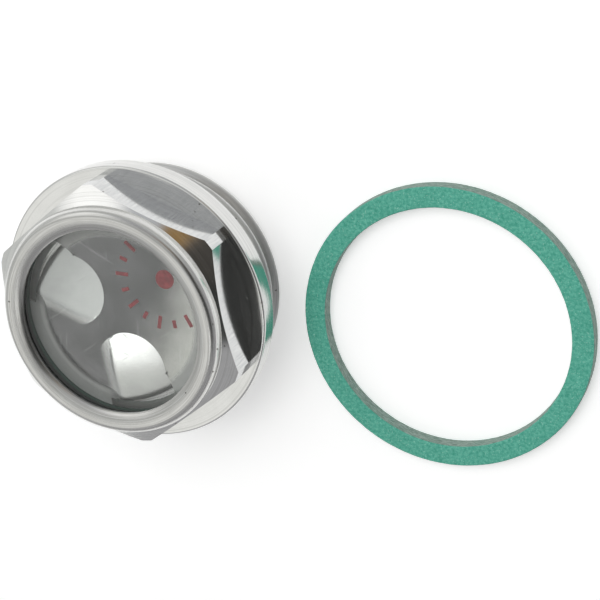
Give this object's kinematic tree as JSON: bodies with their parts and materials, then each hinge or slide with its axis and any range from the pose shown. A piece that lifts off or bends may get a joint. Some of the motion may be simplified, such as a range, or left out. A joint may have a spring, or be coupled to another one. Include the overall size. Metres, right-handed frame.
{
  "type": "tank level gauge",
  "caption": "Screw-in round oil level sight gauge: hexagon plug with a glass window, a reflector behind it, and a flat sealing ring beside it.",
  "frame": {"origin": "on the thread's axis, in the plane of the collar's underside, which seals on the tank", "axes": "+Z out of the tank through the window; +X square to one flat of the hexagon, towards the ring laid beside it"},
  "size_m": [0.0781, 0.0479, 0.0195],
  "materials": {
    "polished_aluminium": "bright turned and milled aluminium",
    "glass": "clear float glass",
    "gasket_green": "dark green flat gasket",
    "reflector_sheet": "polished sheet with a red mark",
    "ring_fibre": "green compressed fibre sheet"
  },
  "bodies": {
    "root": {"body": "polished_aluminium", "sight_glass": "glass", "glass_gasket": "gasket_green", "reflector": "reflector_sheet", "sealing_ring": "ring_fibre"}
  },
  "joints": []
}
